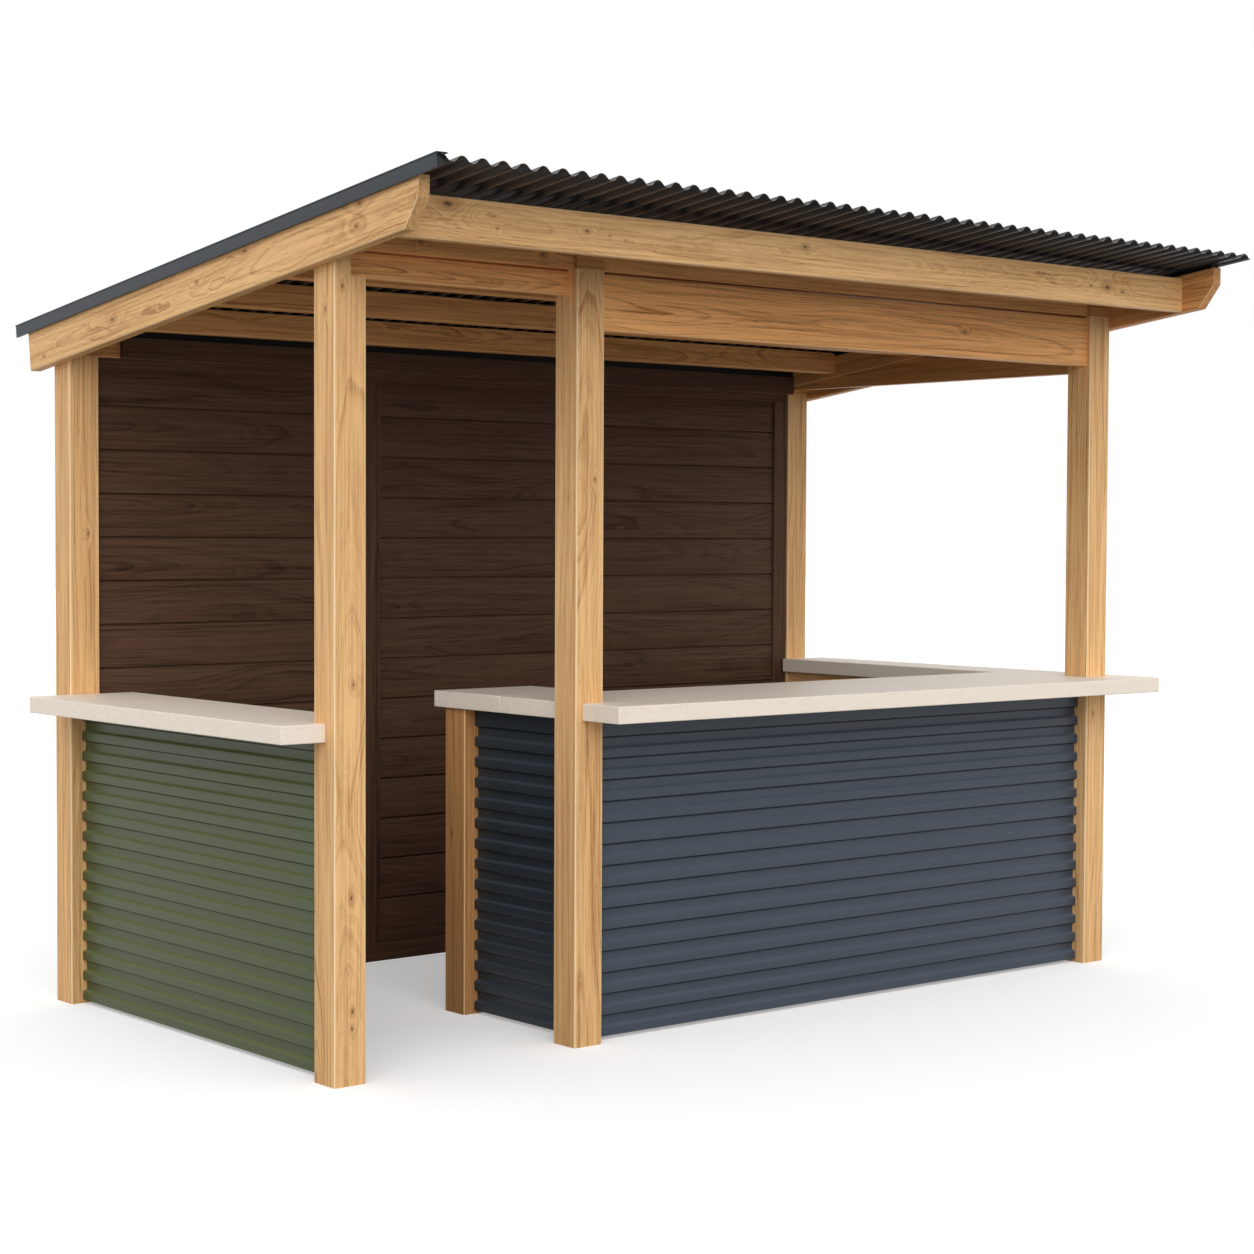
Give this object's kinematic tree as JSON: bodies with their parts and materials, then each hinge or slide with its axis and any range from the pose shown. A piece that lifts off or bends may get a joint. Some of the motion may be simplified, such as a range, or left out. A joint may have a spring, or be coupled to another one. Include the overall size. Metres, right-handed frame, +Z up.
{
  "type": "wooden market stall",
  "caption": "Timber market stall with a single-pitch corrugated roof, boarded back wall, walk-in gap and pale worktops on ribbed metal panels round three sides.",
  "frame": {"origin": "on the ground, in the middle of the plan of the whole stall", "axes": "+X to the right along the front, +Y from the front to the back wall, +Z up"},
  "size_m": [4.058, 2.7468, 2.8855],
  "materials": {
    "frame_timber": "planed honey-coloured timber, clear matt stain",
    "wall_timber": "dark brown stained boards",
    "batten_timber": "black stained battens",
    "roof_metal": "anthracite coated corrugated steel",
    "trim_metal": "grey coated folded steel",
    "green_metal": "olive green coated ribbed steel",
    "blue_metal": "slate blue coated ribbed steel",
    "worktop_stone": "honed pale speckled composite"
  },
  "bodies": {
    "root": {"post_front_left": "frame_timber", "post_front_middle": "frame_timber", "post_front_right": "frame_timber", "post_back_left": "frame_timber", "post_back_right": "frame_timber", "post_counter_end": "frame_timber", "post_head_blocks": "frame_timber", "header_beam_left": "frame_timber", "header_beam_right": "frame_timber", "head_plates": "frame_timber", "back_beam": "frame_timber", "end_rafter_left": "frame_timber", "end_rafter_right": "frame_timber", "fascia_beam": "frame_timber", "inner_rafter_right": "frame_timber", "side_rail_right": "frame_timber", "purlin_front": "frame_timber", "purlin_middle": "frame_timber", "purlin_rear": "frame_timber", "counter_rails_left": "frame_timber", "counter_rails_front": "frame_timber", "counter_rails_return": "frame_timber", "counter_rails_right": "frame_timber", "wall_bottom_rail": "wall_timber", "wall_top_rail": "wall_timber", "wall_stile_middle": "wall_timber", "wall_stile_right": "wall_timber", "wall_boards_left": "wall_timber", "wall_boards_right": "wall_timber", "wall_head_board": "wall_timber", "roof_battens": "batten_timber", "roof_sheet_1": "roof_metal", "roof_sheet_2": "roof_metal", "roof_sheet_3": "roof_metal", "roof_sheet_4": "roof_metal", "roof_sheet_5": "roof_metal", "verge_trim_left": "trim_metal", "counter_panel_left": "green_metal", "counter_panel_front": "blue_metal", "counter_panel_return": "blue_metal", "counter_panel_right": "blue_metal", "worktop_left": "worktop_stone", "worktop_front": "worktop_stone", "worktop_return": "worktop_stone", "worktop_right": "worktop_stone"}
  },
  "joints": []
}
